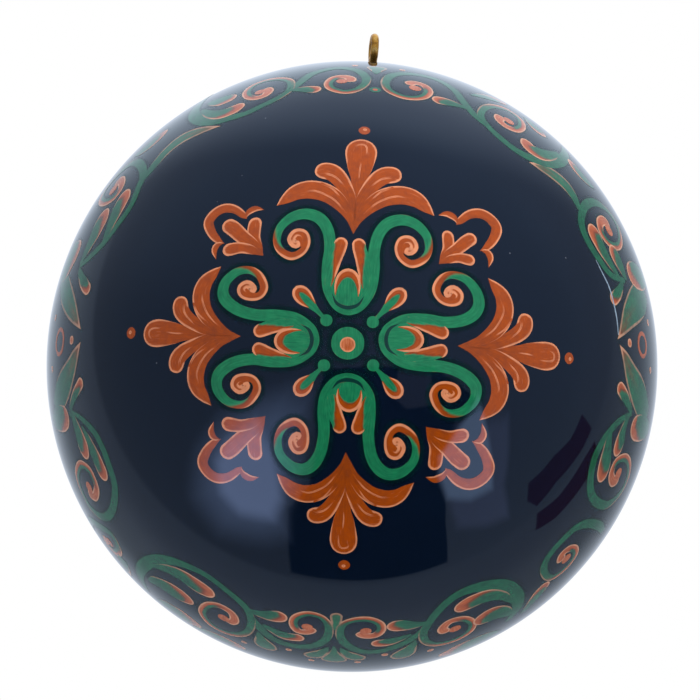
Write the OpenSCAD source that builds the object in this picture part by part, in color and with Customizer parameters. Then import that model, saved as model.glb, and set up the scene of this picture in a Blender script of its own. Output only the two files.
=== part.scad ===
// Painted ball ornament: a hollow ball turned from two halves of limewood, glued at a
// rebated middle joint, with a hardwood plug in its crown that holds a small screw eye.
// One lacquer coat runs over both halves and hides the joint.
// Millimetres, +Z up. The origin is where a hook bears inside the top of the eye's ring.
// The front medallion faces -Y.

/* [Ball] */
// Outside diameter of the finished ball, over the lacquer
ball_d = 100; // [70:1:140]
// Thickness of ground, paint and lacquer together
coat_t = 0.3; // [0.2:0.05:0.6]
// Thickness of the turned wooden wall
wall_t = 6; // [5:0.5:9]

/* [Middle joint] */
// Height of the spigot on the lower half
spigot_h = 4; // [2:0.5:7]
// Thickness of the spigot's wall at the middle of the ball
spigot_t = 3; // [2:0.25:4]
// Thickness of the glue film round the spigot
glue_t = 0.15; // [0.1:0.05:0.3]
// Room for glue above the spigot
glue_gap = 0.4; // [0.3:0.1:0.8]
// Chamfer inside the rebate's mouth and on the spigot's lip
joint_chamfer = 0.5; // [0.3:0.1:0.8]

/* [Crown plug] */
// Diameter of the plug where it fills the crown
plug_d = 10; // [8:0.5:14]
// How far the plug's inner head overhangs its stem all round
plug_head_over = 2.5; // [1.5:0.5:4]
// Thickness of the plug's inner head
plug_head_t = 5; // [4:0.5:8]
// Radial glue clearance between plug and crown
plug_clear = 0.1; // [0.05:0.05:0.2]
// Depth of the flat seat turned into the top of the hollow
seat_cut = 0.3; // [0.2:0.1:1]
// Chamfer on the plug's inner head
plug_chamfer = 0.8; // [0.4:0.1:1.2]

/* [Screw eye] */
// Diameter of the eye's wire
wire_d = 1.3; // [1:0.1:1.6]
// Outside diameter of the eye's ring
eye_d = 5.2; // [5:0.1:8]
// Turn of the ring about the ball's axis, in degrees
eye_turn = 6; // [-90:1:90]
// How deep the ring's neck is sunk below the ball's surface
neck_sink = 1.3; // [0.8:0.1:1.4]
// Plain length of the shank below the neck
shank_l = 4; // [3:0.5:5]
// Length of the thinner screwed end, without its point
screw_l = 3; // [1:0.5:4]
// Length of the gimlet point
point_l = 1.5; // [1:0.25:2]
// Diameter of the screwed end's core
core_d = 0.9; // [0.6:0.05:0.95]
// Radial clearance of the eye's hole round the wire
hole_clear = 0.05; // [0.05:0.05:0.1]

/* [Hidden] */
ball_fn = 160;
turned_fn = 96;
wire_fn = 24;
past = 1;                                 // how far a cutting shape runs past what it cuts

ball_r = ball_d / 2;
wood_r = ball_r - coat_t;
hollow_r = wood_r - wall_t;
spigot_r = hollow_r + spigot_t;
rebate_h = spigot_h + glue_gap;

stem_r = plug_d / 2;
head_r = stem_r + plug_head_over;
seat_z = hollow_r + seat_cut;
plug_foot_z = seat_z - plug_head_t;

wire_r = wire_d / 2;
ring_r = (eye_d - wire_d) / 2;            // centreline of the ring
bend = atan2(4, 3);                       // how far the neck leans before it joins the ring
neck_r = 1.5 * ring_r;                    // with this bend, brings the ring over the shank
neck_z = ball_r - neck_sink;
ring_z = neck_z + 2 * ring_r;             // height at which the two arcs meet tangent
neck_draw = 0.01;                         // how much bending thins the neck's wire, on the radius
neck_lap = 1.5;                           // degrees that the neck runs on into the shank and the ring
ring_open = asin(wire_r / (ring_r + wire_r)); // leaves the wire's free end beside the neck
hang_z = ring_z + ring_r - wire_r;
hole_r = wire_r + hole_clear;
neck_reach = neck_r - sqrt(pow(neck_r - wire_r, 2) - pow(neck_sink, 2));
mouth_r = neck_reach + hole_clear;        // wide enough for the leaning neck
shank_end_z = neck_z - shank_l;
screw_end_z = shank_end_z - screw_l;
hole_end_z = screw_end_z - point_l - hole_clear;

// Moves what is drawn round the ball's centre so that the hook's seat is the origin.
module hung() {
    translate([0, 0, -hang_z]) children();
}

// Upper or lower half of everything: up is 1 or -1.
module half_space(up) {
    size = ball_d + 2 * past;
    translate([0, 0, up * size / 2]) cube(size, center = true);
}

// Wooden half-ball, still solid: up is 1 or -1.
module half_ball(up) {
    intersection() {
        sphere(r = wood_r, $fn = ball_fn);
        half_space(up);
    }
}

// The ball's inside.
module hollow() {
    sphere(r = hollow_r, $fn = ball_fn);
}

// A solid turned from half a profile of [radius, height] points.
module turned(profile, fn = turned_fn) {
    rotate_extrude($fn = fn) polygon(profile);
}

// The spigot with its chamfered lip, filled to the axis and grown by g all round.
module spigot(g, h) {
    r = spigot_r + g;
    c = joint_chamfer;
    turned([[0, 0], [r, 0], [r, h - c], [r - c, h], [0, h]]);
}

// Stem and head of the crown plug, grown by g at the sides. The stem runs up to height top.
module plug_shape(g, top) {
    stem = stem_r + g;
    head = head_r + g;
    c = plug_chamfer;
    turned([
        [0, plug_foot_z], [head - c, plug_foot_z], [head, plug_foot_z + c],
        [head, seat_z], [stem, seat_z], [stem, top], [0, top]
    ]);
}

// The hole that the eye's neck and shank stand in.
module eye_hole() {
    translate([0, 0, neck_z])
        cylinder(r = mouth_r, h = neck_sink + past, $fn = turned_fn);
    translate([0, 0, hole_end_z])
        cylinder(r = hole_r, h = neck_z - hole_end_z + past, $fn = turned_fn);
}

module upper_shell() {
    color("burlywood") hung() difference() {
        half_ball(1);
        hollow();
        spigot(glue_t, rebate_h);
        plug_shape(plug_clear, wood_r + past);
    }
}

module lower_shell() {
    color("burlywood") hung() difference() {
        union() {
            half_ball(-1);
            spigot(0, spigot_h);
        }
        hollow();
    }
}

// Glue that fills the rebate between spigot and upper half.
module glue_seam() {
    color("khaki") hung() difference() {
        spigot(glue_t, rebate_h);
        spigot(0, spigot_h);
        hollow();
    }
}

module crown_plug() {
    color("peru") hung() difference() {
        intersection() {
            plug_shape(0, ball_r);
            sphere(r = wood_r, $fn = ball_fn);
        }
        eye_hole();
    }
}

// Wire of radius w bent to radius r, from a0 to a1 degrees, turning from +X towards +Z.
module bent_wire(r, w, a0, a1) {
    rotate([90, 0, 0]) rotate([0, 0, a0]) rotate_extrude(angle = a1 - a0, $fn = turned_fn)
        translate([r, 0]) circle(r = w, $fn = wire_fn);
}

// Point, screwed end and shank on the axis, then a neck that leans aside and runs on round
// the ring to end beside itself. Bending has drawn the neck a trace thinner.
module screw_eye() {
    core_r = core_d / 2;
    color("goldenrod") hung() rotate([0, 0, 90 + eye_turn]) {
        turned([
            [0, screw_end_z - point_l], [core_r / 5, screw_end_z - point_l],
            [core_r, screw_end_z], [core_r, shank_end_z], [wire_r, shank_end_z],
            [wire_r, neck_z], [0, neck_z]
        ], wire_fn);
        translate([-neck_r, 0, neck_z])
            bent_wire(neck_r, wire_r - neck_draw, -neck_lap, bend + neck_lap);
        translate([0, 0, ring_z]) mirror([1, 0, 0])
            bent_wire(ring_r, wire_r, -bend, 270 - ring_open);
    }
}

// Ground, paint and lacquer: one skin over both halves and the plug, pierced by the eye.
module lacquer_coat() {
    color("midnightblue") hung() difference() {
        sphere(r = ball_r, $fn = ball_fn);
        sphere(r = wood_r, $fn = ball_fn);
        eye_hole();
    }
}

upper_shell();
lower_shell();
glue_seam();
crown_plug();
screw_eye();
lacquer_coat();
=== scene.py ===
"""Painted ball ornament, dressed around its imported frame: a navy lacquered wooden ball with a brushed
scroll medallion, a scroll wreath round it, and a brass screw eye.

Blender works in metres. The painter's numbers below are millimetres over the ball's skin for the
medallion, and degrees for the wreath. +Z is up and the medallion faces -Y.
"""
import math
from collections import namedtuple

import bpy
import numpy as np
from mathutils import Matrix, Vector


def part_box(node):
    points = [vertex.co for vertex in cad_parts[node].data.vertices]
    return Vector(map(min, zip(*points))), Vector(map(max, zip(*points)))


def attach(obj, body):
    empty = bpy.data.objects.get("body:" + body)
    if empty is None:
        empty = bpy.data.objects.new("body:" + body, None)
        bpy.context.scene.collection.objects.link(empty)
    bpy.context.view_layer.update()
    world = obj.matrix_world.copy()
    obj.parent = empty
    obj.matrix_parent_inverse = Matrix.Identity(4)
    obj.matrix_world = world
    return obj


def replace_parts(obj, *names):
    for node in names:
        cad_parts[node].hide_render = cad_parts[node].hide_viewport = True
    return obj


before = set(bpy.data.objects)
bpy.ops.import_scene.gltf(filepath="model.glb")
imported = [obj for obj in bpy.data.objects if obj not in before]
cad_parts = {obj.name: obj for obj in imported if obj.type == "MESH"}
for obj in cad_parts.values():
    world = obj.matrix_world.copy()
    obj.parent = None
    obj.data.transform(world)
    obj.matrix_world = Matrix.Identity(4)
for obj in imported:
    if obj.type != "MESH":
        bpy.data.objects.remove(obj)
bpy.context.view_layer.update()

MM = 0.001
BALL_R = 50.0                  # outside of the lacquer
COAT_T = 0.3                   # ground, paint and lacquer together
EYE_MOUTH_R = 0.98             # hole in the lacquer round the screw eye's neck
coat_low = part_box("lacquer_coat")[0]
CENTRE = np.array([0.0, 0.0, coat_low.z / MM + BALL_R])

SHADE_LIFT = 0.012             # heights over the lacquer, in mm
PAINT_LIFT = 0.030
LAYER_STEP = 0.004             # one brush stroke over another
SHADE_STEP = 0.001             # one shade over another
SHADE_LEVELS = 16              # after so many shades the heights begin again
SUNK = -0.02                   # where a stroke's foot lies, just under the skin

ACROSS = np.array([-1.0, -0.7, -0.35, 0.0, 0.35, 0.7, 1.0])
END_CUTS = 1 - np.cos(np.linspace(0, math.pi / 2, 8))  # where a round end is cut, in radii from its tip
LINE_SAMPLES = 12              # of a curve, between two of the painter's points
LEAST_ROWS = 8                 # along the shortest stroke
LEAST_HALF = 0.012             # mm that are left of a stroke's half width at its tip
ROUND_SHARE = 0.45             # of its length that a stroke's round end takes at most
TRAIL_APART = 7.0              # mm between the streak patterns of two strokes
EDGE_SPAN = 4.0                # mm of edge distance that fill one colour channel
REACH_SPAN = 2.0               # mm of rim reach that fill one colour channel

# Millimetres between the rows of a stroke's mesh, finer in front than on the back.
MEDALLION_STEP, MEDALLION_BACK_STEP, MEDALLION_SHADE_STEP = 0.32, 0.5, 0.6
WREATH_STEP, WREATH_BACK_STEP, WREATH_SHADE_STEP = 0.36, 0.6, 0.7


# ---------------------------------------------------------------- places on the ball

def on_front(points, turn=0.0):
    """Unit vectors of (x, y) mm measured over the skin from the medallion's middle, after the
    pattern is turned clockwise by turn degrees: the distance from the middle is an arc length."""
    a = math.radians(turn)
    u = points[:, 0] * math.cos(a) + points[:, 1] * math.sin(a)
    v = points[:, 1] * math.cos(a) - points[:, 0] * math.sin(a)
    reach = np.maximum(np.hypot(u, v), 1e-9)
    angle = reach / BALL_R
    return np.stack([np.sin(angle) * u / reach, -np.cos(angle), np.sin(angle) * v / reach], axis=1)


def on_wreath(points, start, end):
    """Unit vectors of (along, out) degrees: along runs from the side axis, 0, to the top or bottom
    axis, 90, which lie at start and end degrees round the front; out is the angle from its axis."""
    out = np.radians(points[:, 1])
    around = np.radians(start + (end - start) * points[:, 0] / 90)
    return np.stack([np.sin(out) * np.cos(around), -np.cos(out), np.sin(out) * np.sin(around)], axis=1)


# ---------------------------------------------------------------- meshes and objects

def ring_quads(rings, count, first=0):
    """Faces between closed rings of count points each, which follow one another from point first."""
    ring, col = np.meshgrid(np.arange(rings - 1), np.arange(count), indexing="ij")
    here = first + ring * count + col
    beside = first + ring * count + (col + 1) % count
    return np.stack([here, here + count, beside + count, beside], axis=2).reshape(-1, 4)


def fan(hub, first, count):
    """Triangles from one point to a closed ring of count points."""
    col = np.arange(count)
    return np.stack([np.full(count, hub), first + col, first + (col + 1) % count], axis=1)


def add_object(name, data):
    """An object in the scene from its data."""
    made = bpy.data.objects.new(name, data)
    bpy.context.scene.collection.objects.link(made)
    return made


def add_mesh(name, places, faces, material):
    """An object in the scene from points in metres and faces."""
    mesh = bpy.data.meshes.new(name)
    mesh.from_pydata(np.asarray(places).tolist(), [], faces)
    mesh.materials.append(material)
    return add_object(name, mesh)


def lacquer_piece(piece):
    """Makes the object a piece of the ornament's painted skin, riding on its one body."""
    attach(piece, "root")
    return piece


# ---------------------------------------------------------------- brush strokes

def through(points):
    """A smooth line through the painter's points: a Catmull-Rom curve."""
    points = np.asarray(points, float)
    ends = np.vstack([2 * points[0] - points[1], points, 2 * points[-1] - points[-2]])
    a, b, c, d = ends[:-3, None], ends[1:-2, None], ends[2:-1, None], ends[3:, None]
    u = np.linspace(0, 1, LINE_SAMPLES, endpoint=False)[None, :, None]
    curve = b + 0.5 * u * (c - a + u * (2 * a - 5 * b + 4 * c - d + u * (3 * b - a - 3 * c + d)))
    return np.vstack([curve.reshape(-1, points.shape[1]), points[-1]])


def smooth(x, low, high):
    """0 below low, 1 above high, and an even S between them."""
    k = np.clip((x - low) / (high - low), 0, 1)
    return k * k * (3 - 2 * k)


def longer(middle, half, grow):
    """The same line and half widths carried on straight by grow mm at both ends."""
    step = grow / BALL_R
    back, on = middle[0] - middle[1], middle[-1] - middle[-2]
    first = middle[0] + back / np.linalg.norm(back) * step
    last = middle[-1] + on / np.linalg.norm(on) * step
    return np.vstack([first, middle, last]), np.concatenate([half[:1], half, half[-1:]])


def rounding(from_tip, radius):
    """The share of its width that a stroke has this far from the tip of a round end: a circle."""
    return np.sqrt(1 - np.clip(1 - from_tip / radius, 0, 1) ** 2)


def unit(vectors):
    """The same vectors at length 1."""
    return vectors / np.maximum(np.linalg.norm(vectors, axis=-1, keepdims=True), 1e-12)


def edge_distance(top):
    """Distance in mm from each point of a strip to its outline: the least over its straight stretches."""
    a = np.vstack([top[:, 0], top[::-1, -1]]) * BALL_R
    span = np.roll(a, -1, axis=0) - a
    length2 = np.maximum((span ** 2).sum(axis=1), 1e-12)
    from_a = top[1:-1, 1:-1, None] * BALL_R - a
    k = np.clip((from_a * span).sum(axis=-1) / length2, 0, 1)
    gap = from_a - k[..., None] * span
    edge = np.zeros(top.shape[:2])
    edge[1:-1, 1:-1] = np.sqrt((gap ** 2).sum(axis=-1)).min(axis=-1)
    return edge


def with_feet(grid):
    """A strip's values with its outer columns doubled, for the feet that go under the skin."""
    return np.concatenate([grid[:, :1], grid, grid[:, -1:]], axis=1)


class Paintwork:
    """Strokes gathered into one piece. Each stroke is a thin closed strip bent over the ball, with
    its colours as a vertex attribute: tone, reach of the peach rim, and distance to its edge."""

    def __init__(self, name, step):
        self.name = name
        self.step = step
        self.shades = 0
        self.parts = []

    def stroke(self, points, place, colours, round_tail=False, round_head=True, order=0, side=1,
               grow=0.0, lift=PAINT_LIFT):
        """points are (x, y, half width in mm) from tail to head. place turns (x, y) into unit
        vectors. colours(s, t) gives tone and rim reach from the share along the stroke and the
        share across it towards its outer side. The outline is grown by grow mm all round."""
        line = through(points)
        middle = place(line[:, :2])
        half_line = np.maximum(line[:, 2], 0) + grow
        if grow:
            middle, half_line = longer(middle, half_line, grow)
        run = np.concatenate([[0], np.cumsum(np.linalg.norm(np.diff(middle, axis=0), axis=1))]) * BALL_R
        length = run[-1]
        at = np.linspace(0, length, max(LEAST_ROWS, int(length / self.step)))
        head_r = min(half_line[-1], ROUND_SHARE * length) if round_head else 0
        tail_r = min(half_line[0], ROUND_SHARE * length) if round_tail else 0
        if head_r:
            at = np.concatenate([at[at < length - head_r], length - head_r * END_CUTS])
        if tail_r:
            at = np.concatenate([tail_r * END_CUTS, at[at > tail_r]])
        at = np.unique(np.round(at, 4))
        half = np.interp(at, run, half_line)
        if head_r:
            half *= rounding(length - at, head_r)
        if tail_r:
            half *= rounding(at, tail_r)
        half = np.maximum(half, LEAST_HALF)
        spine = unit(np.stack([np.interp(at, run, middle[:, i]) for i in range(3)], axis=1))
        ahead = np.gradient(spine, at, axis=0)
        ahead = unit(ahead - (ahead * spine).sum(axis=1, keepdims=True) * spine)
        aside = np.cross(spine, ahead)
        angle = half[:, None, None] * ACROSS[:, None] / BALL_R
        top = np.cos(angle) * spine[:, None] + np.sin(angle) * aside[:, None]
        self.keep(top, at, half, colours, side, lift + order * LAYER_STEP)

    def keep(self, top, at, half, colours, side, lift):
        """Stores a stroke's points with its height, its colours, and its trail: mm along and across."""
        along, across = np.broadcast_arrays(at[:, None], ACROSS)
        edge = edge_distance(top)
        tone, reach = colours(along / at[-1], across * side)
        paint = np.stack(np.broadcast_arrays(tone, reach / REACH_SPAN, edge / EDGE_SPAN, 1.0), axis=2)
        trail = np.stack([along, across * half[:, None] + TRAIL_APART * len(self.parts)], axis=2)
        self.parts.append((top, lift, paint, trail))

    def shadow(self, points, place, width):
        """A dark glaze that reaches width mm past the stroke laid on the same line."""
        lift = SHADE_LIFT + self.shades * SHADE_STEP
        self.stroke(points, place, shade, round_tail=True, grow=width, lift=lift)
        self.shades = (self.shades + 1) % SHADE_LEVELS

    def build(self, material, back=False):
        """One mesh of all the strokes: round each row go the foot, the top's points and the other
        foot, so the strip is a flat tube, closed at both ends by one face."""
        places, normals, paints, trails, quads, ends = [], [], [], [], [], []
        mirror, turn = ([1, -1, 1], -1) if back else ([1, 1, 1], 1)
        count = 0
        for top, lift, paint, trail in self.parts:
            ring = with_feet(top) * mirror
            rows, cols = ring.shape[:2]
            heights = np.full((cols, 1), lift)
            heights[[0, -1]] = SUNK
            places.append(((CENTRE + ring * (BALL_R + heights)) * MM).reshape(-1, 3))
            normals.append(ring.reshape(-1, 3))
            paints.append(with_feet(paint).reshape(-1, 4))
            trails.append(with_feet(trail).reshape(-1, 2))
            quads.append(ring_quads(rows, cols, count)[:, ::turn])
            first = count + np.arange(cols)
            last = first[::-1] + (rows - 1) * cols
            ends += [first[::turn], last[::turn]]
            count += rows * cols
        quads = np.concatenate(quads)
        loops = np.concatenate([quads.ravel(), *ends]).astype(np.int32)
        sizes = np.array([4] * len(quads) + [len(end) for end in ends], np.int32)
        mesh = bpy.data.meshes.new(self.name)
        mesh.vertices.add(count)
        mesh.vertices.foreach_set("co", np.concatenate(places).astype(np.float32).ravel())
        mesh.loops.add(len(loops))
        mesh.loops.foreach_set("vertex_index", loops)
        mesh.polygons.add(len(sizes))
        mesh.polygons.foreach_set("loop_start", (np.cumsum(sizes) - sizes).astype(np.int32))
        mesh.update(calc_edges=True)
        attribute = mesh.color_attributes.new(name="paint", type="FLOAT_COLOR", domain="POINT")
        attribute.data.foreach_set("color", np.concatenate(paints).astype(np.float32).ravel())
        layer = mesh.uv_layers.new(name="trail")
        layer.data.foreach_set("uv", np.concatenate(trails)[loops].astype(np.float32).ravel())
        mesh.normals_split_custom_set_from_vertices(np.concatenate(normals).astype(np.float32))
        mesh.materials.append(material)
        lacquer_piece(add_object(self.name, mesh))


# ---------------------------------------------------------------- how strokes are coloured
# Tone: 0 dark ink, 0.5 green, 0.75 rust, 0.9 orange. The second value is the peach rim's reach in mm.

def flat(tone, reach=0.0):
    """One tone all over, under a peach rim of one reach."""
    return lambda s, t: (tone, reach)


plain_green = flat(0.5)
plain_orange = flat(0.9)
dark_line = flat(0.15)
# Peach for the real dots, and for the painted highlight on top of each arm's bead.
peach_dot_and_highlight = flat(0.97, 0.3)
shade = flat(1.0)              # the glaze works its strength out from the edge distance


def at_both_ends(s, share):
    """0 at a stroke's two ends, 1 from this share of its length inwards."""
    return smooth(s, 0.0, share) * smooth(1 - s, 0.0, share)


def soft_line(s, t):
    """A thin light-orange line that fades at both ends."""
    return 0.91 + 0.09 * at_both_ends(s, 0.3), 0.12 * at_both_ends(s, 0.4)


def orange_leaf(s, t):
    """Orange, redder towards its root, with a peach rim on the outer side that fades to the root."""
    tone = 0.82 + 0.09 * smooth(s, 0.1, 0.8)
    return tone, 0.34 * smooth(t, -0.3, 0.4) * smooth(s, 0.25, 0.6)


def orange_petal(s, t):
    """Orange with a peach rim round its head and down its outer side."""
    round_head = smooth(s, 0.74, 0.88)
    down_side = smooth(t, -0.2, 0.5) * smooth(s, 0.3, 0.6)
    return 0.82 + 0.09 * smooth(s, 0.2, 0.9), 0.38 * np.maximum(round_head, down_side)


def orange_drop(s, t):
    """Orange with a peach rim round its head that thins out down both sides."""
    return 0.82 + 0.09 * smooth(s, 0.2, 0.9), 0.36 * smooth(s, 0.5, 0.85)


def green_lyre(s, t):
    """Green; near its curl orange comes in from the outer side, rimmed with peach."""
    turn = smooth(s + 0.05 * t, 0.62, 0.72)
    rim = 0.5 * smooth(t, -0.1, 0.3) * smooth(s, 0.65, 0.74)
    return 0.5 + 0.38 * turn, rim + 0.5 * smooth(s, 0.86, 0.95)


def lyre_drop(s, t):
    """Green tail that joins the lyre, orange head, and peach on the inner side and round the head."""
    tone = 0.5 + 0.4 * smooth(s + 0.5 * t, 0.3, 0.6)
    return tone, 0.4 * np.maximum(smooth(t, 0.1, 0.5) * smooth(s, 0.1, 0.3), smooth(s, 0.82, 0.92))


def spray_petal(s, t):
    """Orange with a peach rim down both sides and thick round the head."""
    return 0.84 + 0.08 * smooth(s, 0.2, 0.9), 0.32 * smooth(s, 0.15, 0.5) + 0.12 * smooth(s, 0.75, 0.9)


def bow_tones(s, t):
    """Orange bow round a green heart: peach outside, thinning inwards to rust and green."""
    return 0.9 - 0.34 * smooth(-t, 0.3, 1.0), 0.5 * smooth(t, -0.2, 0.4) * at_both_ends(s, 0.12)


def bracket_tones(s, t):
    """Orange crescent, darker inside, with peach along its outer edge."""
    return 0.9 - 0.08 * smooth(-t, 0.2, 0.9), 0.36 * smooth(t, 0, 0.5) * at_both_ends(s, 0.15)


# ---------------------------------------------------------------- the medallion
# One arm about its own axis: x to the right, y outwards, half width, all in mm.

PALMETTE_HEART = [(0, 17.3, 0), (-0.1, 18.8, 0.65), (-0.1, 20.7, 1.7), (0, 22.5, 2.9), (0, 24.5, 1.6)]
PALMETTE_DROP = [(0, 19.5, 0.8), (0, 22, 1.1), (0.2, 26.7, 1.2), (0.2, 29.4, 1.9), (0.2, 32.4, 2.45),
                 (0.1, 34.2, 2.3), (0, 35.7, 2.2)]
PALMETTE_PETAL = [(0.3, 18.5, 0.3), (0.8, 22.6, 0.9), (2.0, 25.6, 1.2), (3.6, 27.8, 1.5), (5.2, 28.6, 1.65),
                  (7.1, 28.2, 1.5)]
PALMETTE_LEAF = [(0, 17.3, 0), (0.7, 19.7, 0.5), (2.3, 22.3, 1.2), (4.6, 24.2, 1.6), (7.3, 24.9, 1.7),
                 (9.6, 24.4, 1.5), (11.4, 23, 0.9), (12.7, 21.8, 0)]
PALMETTE_LINES = [
    [(2.2, 23.2, 0.1), (4, 25.2, 0.15), (5.9, 26.2, 0.18)],
    [(1.4, 20.8, 0.1), (3.6, 23.2, 0.15), (6.6, 24.6, 0.17), (9, 24.3, 0.12)],
    [(1.9, 25.6, 0.1), (3.6, 27.4, 0.16), (5.2, 28.0, 0.22), (6, 27.6, 0.2)],
]
DROP_LINES = [
    [(-1.1, 33, 0.1), (-0.6, 34.3, 0.16), (0.6, 34.5, 0.18), (1.1, 33.6, 0.14), (1.1, 31.5, 0.1)],
    [(0.2, 27, 0.08), (0.2, 29, 0.12), (0.4, 31, 0.1)],
]
LYRE_HALF = [(-0.6, 4.85, 0.62), (0.5, 4.9, 0.66), (1.9, 5.8, 0.75), (3.2, 8.3, 0.9), (3.55, 11.6, 0.92),
             (3.45, 14.8, 0.88), (4.0, 17.6, 0.9), (5.4, 19.6, 0.95), (7.6, 20.4, 0.95), (9.9, 19.8, 0.85),
             (11.6, 18, 0.7), (12, 15.8, 0.6), (11.2, 14, 0.6), (9.4, 13.1, 0.65), (7.8, 13.9, 0.6),
             (7.2, 15.4, 0.6), (7.7, 16.9, 0.62), (9, 17.1, 0.65), (9.7, 16, 0.65), (9, 15.1, 0.68),
             (8.3, 15.5, 0.7)]
CURL_HEART = (8.7, 15.8, 1.25)
LYRE_FILL = [(0, 5, 1.6), (0, 6.6, 2.6), (-0.1, 8.4, 3.0), (-0.2, 10.9, 2.9)]
LYRE_DROP = [(2.9, 8.6, 0.5), (2.55, 11, 0.95), (2.1, 13.2, 1.1), (1.5, 15, 1.05), (1.3, 16.6, 1.0)]
ARCH = [(-0.3, 5.6, 1.4), (-0.3, 8.2, 1.85), (-0.3, 10, 1.85), (-0.3, 11.4, 1.75)]
ARCH_BOW = [(-2.05, 7.2, 0.05), (-1.95, 8.8, 0.35), (-1.35, 10.2, 0.65), (-0.3, 10.75, 0.8),
            (0.75, 10.2, 0.65), (1.35, 8.8, 0.35), (1.45, 7.2, 0.05)]
TEAL_CRESCENT = [(-2.6, 7.4, 0), (-1.7, 5.9, 0.24), (-0.1, 5.35, 0.3), (1.5, 5.9, 0.24), (2.4, 7.4, 0)]
HEART_TONE = 0.86
CURL_HEART_TONE = 0.88
LYRE_SHADE = 1.0               # mm that the dark glaze reaches past these strokes
LYRE_FILL_SHADE = 1.6
ROSETTE_SHADE = 1.1
BUD_SHADE = 1.0
ARM_BEAD = [(-1, 37.9, 0.85), (0, 37.9, 0.95), (1, 37.9, 0.85)]
# A painted highlight: a small peach dab on top of each arm's bead stands for the glint of light on it.
BEAD_PAINTED_HIGHLIGHT = (0.1, 38.1, 0.3)

# How the hand has varied the four arms, clockwise from the top: the turn in degrees, how far out and how
# far aside the marks along the arm come to lie, the palmette's share of its full width, then how far
# the left and the right curl are drawn in towards the arm's axis, how far they are pushed outwards, and
# the share of the drops' full length.
ARM_MARKS = [4.2, 11.5, 17.4, 35.7, 37.9]
Arm = namedtuple("Arm", "turn outs asides width drawn_in pushed_out drop_length")
ARMS = [
    Arm(0, [4.2, 11.5, 17.4, 35.7, 37.9], [-0.45, -0.45, -0.45, -0.4, 0], 1.0, (0, 0), (0, 0), 1.0),
    Arm(90, [4.6, 11.5, 17.1, 35.6, 37.6], [-0.9, -0.9, -0.85, -1, -1], 0.9, (0.8, 1.4), (0, 0.8), 0.88),
    Arm(180, [4.8, 10.4, 17, 34.5, 36.7], [-0.35, -0.4, -0.7, -1.5, -1.6], 0.86, (1, 1.3), (0.3, 0.5), 0.76),
    Arm(270, [4.5, 11.4, 17, 34.7, 37.5], [0, 0, 0.1, 0.1, 0.3], 0.88, (1.3, 1.4), (1, 1), 0.82),
]


def mirrored(points, flip, squeeze):
    """The same points with x reversed when flip is -1, made narrower by the squeeze."""
    return [(flip * squeeze * x, y, squeeze * w) for x, y, w in points]


def disc(x, y, r):
    """A round dab as a short stroke from one side to the other."""
    return [(x, y - r, 0.98 * r), (x, y, r), (x, y + r, 0.98 * r)]


def arm_place(arm):
    """The function that lays an arm's own (x, y) on the ball."""
    def place(points):
        aside = points[:, 0] + np.interp(points[:, 1], ARM_MARKS, arm.asides)
        out = np.interp(points[:, 1], ARM_MARKS, arm.outs) + np.maximum(points[:, 1] - ARM_MARKS[-1], 0)
        return on_front(np.stack([aside, out], axis=1), arm.turn)
    return place


def paint_palmette(work, arm):
    """A palmette: a drop over a heart, with a petal, a leaf and light lines on either side."""
    place = arm_place(arm)
    work.stroke(PALMETTE_HEART, place, flat(HEART_TONE))
    work.stroke(mirrored(PALMETTE_DROP, 1, arm.width), place, orange_drop, order=1)
    for line in DROP_LINES:
        work.stroke(mirrored(line, 1, arm.width), place, soft_line, order=2)
    for flip in (1, -1):
        petal = mirrored(PALMETTE_PETAL, flip, arm.width)
        leaf = mirrored(PALMETTE_LEAF, flip, arm.width)
        work.stroke(petal, place, orange_petal, order=2, side=flip)
        work.stroke(leaf, place, orange_leaf, order=3, side=flip, round_head=False)
        for line in PALMETTE_LINES:
            work.stroke(mirrored(line, flip, arm.width), place, soft_line, order=4)
    work.stroke(ARM_BEAD, place, plain_orange, round_tail=True)
    # Painted highlight: a peach dab on the bead's top stands for the glint of light.
    work.stroke(disc(*BEAD_PAINTED_HIGHLIGHT), place, peach_dot_and_highlight, round_tail=True, order=1)


def paint_lyre(work, shades, arm):
    """A lyre: two curls with their hearts and drops, and an arch over its green foot."""
    place = arm_place(arm)
    shades.shadow(LYRE_FILL, place, LYRE_FILL_SHADE)
    work.stroke(LYRE_FILL, place, plain_green, round_tail=True)
    for flip, drawn_in, pushed_out in zip((-1, 1), arm.drawn_in, arm.pushed_out):
        def hand(points):
            return [(flip * (x - drawn_in * smooth(x, 3.5, 9.5)), y + pushed_out * smooth(x, 4, 11), w)
                    for x, y, w in points]
        work.stroke(hand(disc(*CURL_HEART)), place, flat(CURL_HEART_TONE), round_tail=True)
        work.stroke(hand(LYRE_HALF), place, green_lyre, order=1, side=flip)
        root = LYRE_DROP[0][1]
        drop = [(flip * x - 0.4, root + (y - root) * arm.drop_length, w) for x, y, w in LYRE_DROP]
        work.stroke(drop, place, lyre_drop, order=2, side=flip)
        shades.shadow(hand(LYRE_HALF), place, LYRE_SHADE)
    work.stroke(ARCH, place, plain_green, order=3, round_tail=True)
    work.stroke(ARCH_BOW, place, bow_tones, order=4, round_head=False)
    work.stroke(TEAL_CRESCENT, place, dark_line, order=4, round_head=False)


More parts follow.
